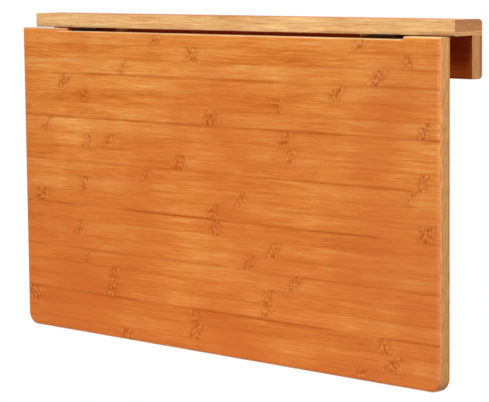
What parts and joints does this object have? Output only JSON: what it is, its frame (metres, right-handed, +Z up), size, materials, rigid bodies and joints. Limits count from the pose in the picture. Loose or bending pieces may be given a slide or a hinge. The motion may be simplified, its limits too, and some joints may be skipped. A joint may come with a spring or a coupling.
{
  "type": "wall mounted drop leaf table",
  "caption": "Fold-down wall table: a narrow fixed shelf on a wall rail, with a wide hinged bamboo leaf that swings up level on folding steel stays.",
  "frame": {"origin": "middle of the line of wall screw holes along the rail, on the wall plane", "axes": "+X along the table to the right, +Y into the wall, +Z up"},
  "size_m": [0.8, 0.082, 0.4655],
  "materials": {
    "bamboo": "satin clear lacquer on carbonised laminated bamboo",
    "beech_dowel": "plain fluted beech",
    "bronzed_steel": "dark bronzed pressed steel",
    "zinc_steel": "bright zinc plated pressed steel",
    "rubber": "matt moulded rubber"
  },
  "bodies": {
    "wall_frame": {"shelf_board": "bamboo", "wall_rail": "bamboo", "shelf_dowels": "beech_dowel", "left_upright": "bamboo", "right_upright": "bamboo", "left_bumper": "rubber", "right_bumper": "rubber", "left_hinge_shelf_plate": "bronzed_steel", "right_hinge_shelf_plate": "bronzed_steel", "left_hinge_pin": "bronzed_steel", "right_hinge_pin": "bronzed_steel", "pivot_screws": "zinc_steel"},
    "leaf": {"leaf_board": "bamboo", "left_hinge_leaf_plate": "bronzed_steel", "right_hinge_leaf_plate": "bronzed_steel", "left_leaf_bracket": "zinc_steel", "right_leaf_bracket": "zinc_steel", "bracket_rivets": "zinc_steel"},
    "left_stay_lower": {"left_lower_link": "zinc_steel", "left_knee_rivet": "zinc_steel"},
    "left_stay_upper": {"left_upper_link": "zinc_steel"},
    "right_stay_lower": {"right_lower_link": "zinc_steel", "right_knee_rivet": "zinc_steel"},
    "right_stay_upper": {"right_upper_link": "zinc_steel"}
  },
  "joints": [
    {"name": "leaf_fold", "type": "hinge", "parent": "wall_frame", "child": "leaf", "pos_m": [0, -0.058, 0.0235], "axis": [-1, 0, 0], "range_deg": [0, 90]},
    {"name": "left_lower_link_fold", "type": "hinge", "parent": "wall_frame", "child": "left_stay_lower", "pos_m": [-0.2232, -0.036, -0.1075], "axis": [-1, 0, 0], "range_deg": [0, 117.25]},
    {"name": "left_upper_link_fold", "type": "hinge", "parent": "leaf", "child": "left_stay_upper", "pos_m": [-0.2199, -0.05, -0.1665], "axis": [1, 0, 0], "range_deg": [0, 136.65]},
    {"name": "right_lower_link_fold", "type": "hinge", "parent": "wall_frame", "child": "right_stay_lower", "pos_m": [0.2232, -0.036, -0.1075], "axis": [-1, 0, 0], "range_deg": [0, 117.25]},
    {"name": "right_upper_link_fold", "type": "hinge", "parent": "leaf", "child": "right_stay_upper", "pos_m": [0.2199, -0.05, -0.1665], "axis": [1, 0, 0], "range_deg": [0, 136.65]}
  ],
  "couplings": [
    {"joint": "left_lower_link_fold", "follows": "leaf_fold", "ratio": 1.3028},
    {"joint": "left_upper_link_fold", "follows": "leaf_fold", "ratio": 1.5183},
    {"joint": "right_lower_link_fold", "follows": "leaf_fold", "ratio": 1.3028},
    {"joint": "right_upper_link_fold", "follows": "leaf_fold", "ratio": 1.5183}
  ]
}
